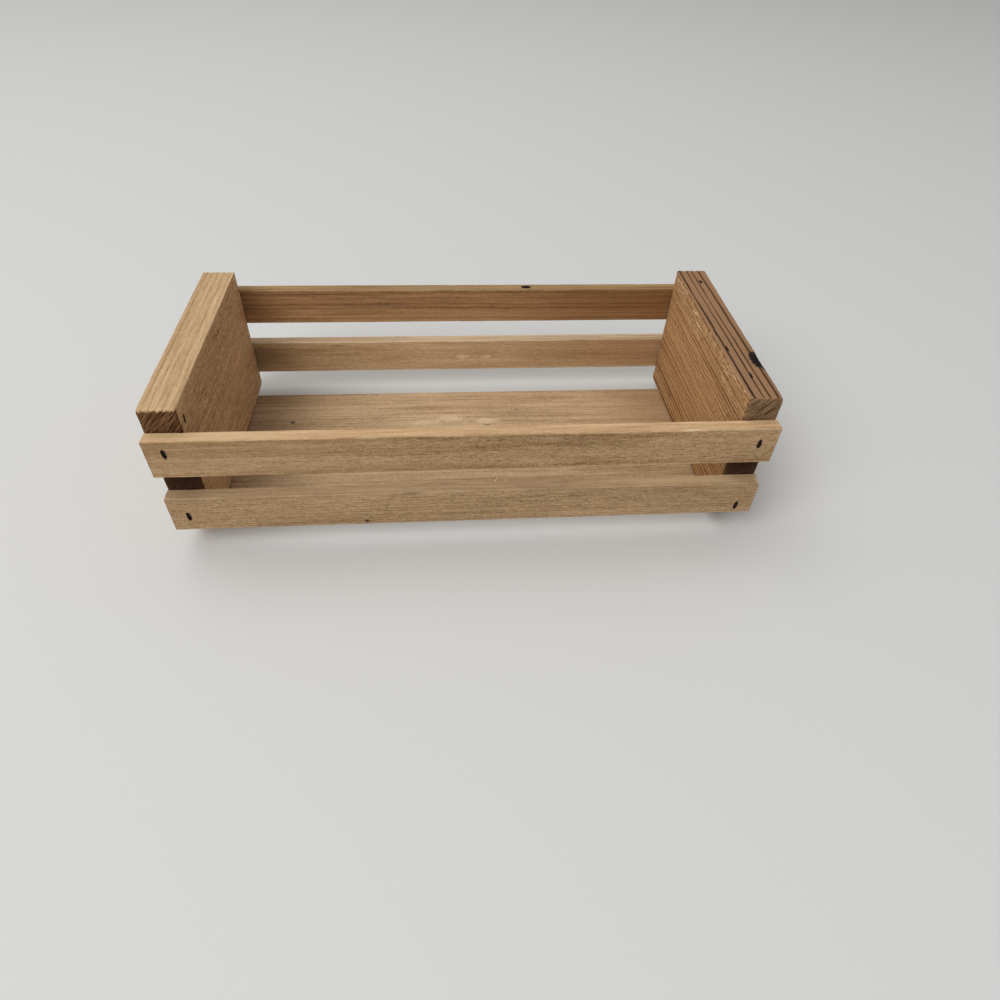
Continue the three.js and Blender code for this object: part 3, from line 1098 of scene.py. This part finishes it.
BACK_UPPER_FIGURE = {
    "Pith Across": 30.0,
    "Pith Deep": 25.0,
    "Ring Width": 3.0,
    "Wander": 1.2,
    "Seed": 5.0,
}
BACK_LOWER_FIGURE = {
    "Pith Across": -10.0,
    "Pith Deep": 70.0,
    "Ring Width": 3.4,
    "Wander": 0.8,
    "Seed": 6.0,
}
BACK_UPPER_LOOK = {
    "Earlywood": (0.525, 0.305, 0.147, 1.0),
    "Latewood": (0.165, 0.078, 0.026, 1.0),
    "Edge Tint": (0.97, 1.08, 1.1, 1.0),
    "Rings": 0.6,
    "Edge Rings": 0.3,
    "Streaks": 0.3,
    "Grain": 0.25,
    "Fibres": 0.2,
    "Dashes": 0.15,
    "Nap": 0.3,
    "Drift": 0.25,
}
BACK_LOWER_LOOK = {
    "Earlywood": (0.8, 0.57, 0.335, 1.0),
    "Latewood": (0.28, 0.165, 0.07, 1.0),
    "Edge Tint": (1.16, 1.23, 1.4, 1.0),
    "Rings": 0.35,
    "Edge Rings": 0.3,
    "Streaks": 0.25,
    "Grain": 0.2,
    "Fibres": 0.2,
    "Dashes": 0.12,
    "Nap": 0.3,
}
RED_SHADE = (0.2, 0.085, 0.028, 1.0)
GOLD_SHADE = (0.3, 0.14, 0.05, 1.0)
BACK_INNER = box_corners("back_upper_slat")[0].y
# Painted shadow of the left end board, laid over the back slats' left ends
LEFT_SHADOW_END = -145.0
LEFT_SHADOW_REACH = (45.0, 8.0, 18.0)
BACK_UPPER_MARKS = [
    Mark((42.4, 74.6, 76.6), (3.9, 2.1, 2.2), (0.0, 0.0, -0.6), 1.0, DARK_MARK),
    # painted shadow of the left end board
    wash((LEFT_SHADOW_END, BACK_INNER, 65.0), LEFT_SHADOW_REACH, 0.25, GRIME_AND_SHADE),
    wash((125.0, BACK_INNER, 65.0), (150.0, 6.0, 34.0), 0.5, RED_SHADE),
    wash((-59.0, BACK_INNER, 66.0), (50.0, 3.0, 1.3), 0.4, GRIME_AND_SHADE),
]
BACK_LOWER_MARKS = [
    # painted shadow of the left end board
    wash((LEFT_SHADOW_END, BACK_INNER, 28.0), LEFT_SHADOW_REACH, 0.5, GRIME_AND_SHADE),
    wash((-83.0, BACK_INNER, 36.4), (10.0, 2.0, 1.0), 0.5, GRIME_AND_SHADE),
    wash((125.0, BACK_INNER, 28.0), (120.0, 6.0, 30.0), 0.4, GOLD_SHADE),
    fleck((0.2, BACK_INNER, 26.5), (4.6, 2.0, 2.4), 0.5),
    fleck((17.0, BACK_INNER, 26.2), (5.6, 2.0, 2.0), 0.45),
]
slat("back", "upper", BACK_UPPER_FIGURE, BACK_UPPER_LOOK, BACK_UPPER_MARKS)
slat("back", "lower", BACK_LOWER_FIGURE, BACK_LOWER_LOOK, BACK_LOWER_MARKS)

# Bottom board
# One wide thin board with straight lines along its length. It closes the crate from below and is stapled
# up into the end boards.

BOTTOM_TURN = Euler((0.0, 0.0, 0.0))
BOTTOM_SIZES = {"Steps Along": 330, "Steps Across": 120, "Steps Through": 10, "Waves": 0.3}
BOTTOM_FIGURE = {"Pith Across": -170.0, "Pith Deep": -60.0, "Ring Width": 2.6, "Wander": 0.5, "Seed": 7.0}
BOTTOM_LOOK = {
    "Earlywood": (0.79, 0.565, 0.345, 1.0),
    "Latewood": (0.27, 0.162, 0.074, 1.0),
    "Rings": 0.3,
    "Streaks": 0.3,
    "Grain": 0.25,
    "Fibres": 0.2,
    "Dashes": 0.1,
    "Nap": 0.35,
    "Drift": 0.25,
}
DUSTY_SHADE = (0.3, 0.17, 0.08, 1.0)
BOTTOM_TOP = box_corners("bottom_board")[1].z
PIT_DEPTH = 1.2
PIT_PUSH = (0.0, 0.0, -0.3)


def pit(x, y, half_length, half_width, shade):
    """A small dark pit in the bottom board's upper face."""
    return Mark((x, y, BOTTOM_TOP), (half_length, half_width, PIT_DEPTH), PIT_PUSH, shade, DARK_MARK)


BOTTOM_MARKS = [
    wash((140.0, 30.0, BOTTOM_TOP), (60.0, 80.0, 10.0), 0.5, DUSTY_SHADE),
    # painted shadow of the left end board over the bottom's left end
    wash((-145.0, 10.0, BOTTOM_TOP), (60.0, 90.0, 10.0), 0.4, GRIME_AND_SHADE),
    fleck((-9.7, 26.0, BOTTOM_TOP), (11.0, 5.0, 2.0), 0.4),
    fleck((15.0, 23.2, BOTTOM_TOP), (10.0, 3.4, 2.0), 0.45),
    fleck((-26.0, 22.0, BOTTOM_TOP), (12.0, 4.0, 2.0), 0.3),
    pit(-112.4, 25.3, 2.2, 1.6, 0.7),
    pit(36.3, 34.7, 1.6, 0.8, 0.6),
    pit(14.7, 18.9, 2.5, 0.8, 0.5),
]
BOTTOM_STAPLES = [name for name in STAPLES if name.startswith("bottom")]
sawn_board("bottom_board", BOTTOM_TURN, BOTTOM_SIZES, BOTTOM_FIGURE, BOTTOM_LOOK,
           BOTTOM_MARKS, BOTTOM_STAPLES)

# Staples
# Fourteen narrow-crown staples of square steel wire, gone dull and brown. One holds each slat end, three
# hold the bottom to each end board, and all are driven a little below the wood's face.

RUST_PATCHES = Layer((1.1, 1.1, 1.1), detail=4.0, band=(0.36, 0.54))
BARE_STEEL = (0.05, 0.045, 0.04, 1.0)
RUST = (0.03, 0.014, 0.008, 1.0)
STEEL_ROUGHNESS = 0.55
RUST_ROUGHNESS = 0.9
RUST_METALLIC = 0.1


def dull_steel():
    """The material of old staple wire: dull grey steel with brown patches."""
    material, tree, finish, place = start_material("staple steel")
    rust = noise(tree, scaled(tree, place, 1.0 / MM), RUST_PATCHES)
    feed(tree, finish.inputs["Base Color"], mixed(tree, rust, BARE_STEEL, RUST))
    feed(tree, finish.inputs["Metallic"], between(1.0, RUST_METALLIC, rust))
    feed(tree, finish.inputs["Roughness"], between(STEEL_ROUGHNESS, RUST_ROUGHNESS, rust))
    return material


STAPLE_BEND = 0.7 * MM
BEND_STEPS = 5
WIRE_ROUNDING = 0.2
ROUNDING_STEPS = 2
WIRE_POINTS = 4
MIDDLE_POINT = (WIRE_POINTS - 1) / 2


def wire_staples():
    """The tree of the staples: one bent wire, set on each point along its crown and drive directions."""
    asks = {"Places": "NodeSocketGeometry", "Crown": STAPLE_CROWN, "Wire": STAPLE_WIRE,
            "Leg": STAPLE_LEG, "Bend": STAPLE_BEND, "Steel": "NodeSocketMaterial"}
    gives = {"Staples": "NodeSocketGeometry"}
    tree, ask, out = start_tree("wire staples", "GeometryNodeTree", asks, gives)

    # Bends a line of four points into foot, corner, corner and foot
    line = made(tree, "GeometryNodeCurvePrimitiveLine").outputs[0]
    four = made(tree, "GeometryNodeResampleCurve", {"Curve": line, "Count": WIRE_POINTS}).outputs[0]
    number = Field(tree, made(tree, "GeometryNodeInputIndex").outputs[0])
    side = number.worked("GREATER_THAN", MIDDLE_POINT) * 2.0 - 1.0
    foot = abs(number - MIDDLE_POINT).worked("GREATER_THAN", 1.0)
    across = side * (ask["Crown"] - ask["Wire"]) * 0.5
    down = ask["Wire"] * 0.5 + foot * (ask["Leg"] - ask["Wire"] * 0.5)
    path = {"Geometry": four, "Position": joined(tree, across, 0.0, down * -1.0)}
    bent = made(tree, "GeometryNodeSetPosition", path).outputs[0]
    turns = {"Curve": bent, "Count": BEND_STEPS, "Radius": ask["Bend"], "Limit Radius": True}
    eased = made(tree, "GeometryNodeFilletCurve", turns, mode="POLY").outputs[0]

    # Gives it a square section with rounded corners
    sides = {"Width": ask["Wire"], "Height": ask["Wire"]}
    square = made(tree, "GeometryNodeCurvePrimitiveQuadrilateral", sides).outputs[0]
    rounding = {"Curve": square, "Count": ROUNDING_STEPS, "Radius": ask["Wire"] * WIRE_ROUNDING,
                "Limit Radius": True}
    section = made(tree, "GeometryNodeFilletCurve", rounding, mode="POLY").outputs[0]
    swept = {"Curve": eased, "Profile Curve": section, "Fill Caps": True}
    wire = made(tree, "GeometryNodeCurveToMesh", swept).outputs[0]

    # Drives one into each place
    axes = {}
    for name in ("crown_along", "driven_into"):
        reading = made(tree, "GeometryNodeInputNamedAttribute", {"Name": name}, data_type="FLOAT_VECTOR")
        axes[name] = reading.outputs[0]
    aims = {"Primary Axis": scaled(tree, axes["driven_into"], -1.0), "Secondary Axis": axes["crown_along"]}
    turn = made(tree, "FunctionNodeAxesToRotation", aims, primary_axis="Z", secondary_axis="X").outputs[0]
    spread = {"Points": ask["Places"], "Instance": wire, "Rotation": turn}
    driven = made(tree, "GeometryNodeInstanceOnPoints", spread).outputs[0]
    hand_over(tree, out, driven, ask["Steel"])
    return tree


staple_places = bpy.data.meshes.new("staple places")
staple_places.from_pydata([staple.crown for staple in STAPLES.values()], [], [])
for label, field in (("crown_along", "along"), ("driven_into", "into")):
    directions = staple_places.attributes.new(label, "FLOAT_VECTOR", "POINT")
    numbers = [part for staple in STAPLES.values() for part in getattr(staple, field)]
    directions.data.foreach_set("vector", numbers)
staples = grown("wire_staples", wire_staples(), {"Steel": dull_steel()}, staple_places)
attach(staples, "root")
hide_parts(*STAPLES)

# Floor, light and camera
# A plain pale floor under soft light from the upper left, seen from above the crate's front.

FLOOR_HALF = 3.0
FLOOR_CORNERS = [(-FLOOR_HALF, -FLOOR_HALF, 0.0), (FLOOR_HALF, -FLOOR_HALF, 0.0),
                 (FLOOR_HALF, FLOOR_HALF, 0.0), (-FLOOR_HALF, FLOOR_HALF, 0.0)]
FLOOR_COLOUR = (0.7, 0.7, 0.685, 1.0)
FLOOR_ROUGHNESS = 0.8
floor_mesh = bpy.data.meshes.new("floor")
floor_mesh.from_pydata(FLOOR_CORNERS, [], [(0, 1, 2, 3)])
floor = put("floor", floor_mesh)
floor_material, _, floor_finish, _ = start_material("pale floor")
floor_finish.inputs["Base Color"].default_value = FLOOR_COLOUR
floor_finish.inputs["Roughness"].default_value = FLOOR_ROUGHNESS
floor_mesh.materials.append(floor_material)

SKY_STRENGTH = 0.42
sky = bpy.data.worlds.new("soft studio")
sky.use_nodes = True
sky_light = sky.node_tree.nodes["Background"]
sky_light.inputs["Color"].default_value = WHITE
sky_light.inputs["Strength"].default_value = SKY_STRENGTH
bpy.context.scene.world = sky

# Each softbox's place in metres and its power in watts
SOFTBOX_SIZE = 1.9
SOFTBOXES = {"front softbox": ((-1.5, -1.5, 2.12), 46.0), "back softbox": ((-0.9, 0.9, 2.72), 19.0)}
for name, (place, watts) in SOFTBOXES.items():
    lamp = bpy.data.lights.new(name, "AREA")
    lamp.size = SOFTBOX_SIZE
    lamp.energy = watts
    softbox = put(name, lamp)
    softbox.location = place
    softbox.rotation_euler = (-softbox.location).to_track_quat("-Z", "Y").to_euler()
bpy.context.scene.view_settings.view_transform = "Standard"

IMAGE_SIZE = 1000
FOCAL_PIXELS = 675.667
SENSOR = 36.0
NEAR_CLIP = 0.01
CAMERA_PLACE = (-14.859 * MM, -335.839 * MM, 285.7 * MM)
CAMERA_TURN = (0.795, -0.051, -0.043)
lens = bpy.data.cameras.new("camera")
lens.sensor_width = SENSOR
lens.lens = FOCAL_PIXELS * SENSOR / IMAGE_SIZE
lens.clip_start = NEAR_CLIP
camera = put("camera", lens)
camera.location = CAMERA_PLACE
camera.rotation_mode = "YXZ"
camera.rotation_euler = CAMERA_TURN
bpy.context.scene.camera = camera
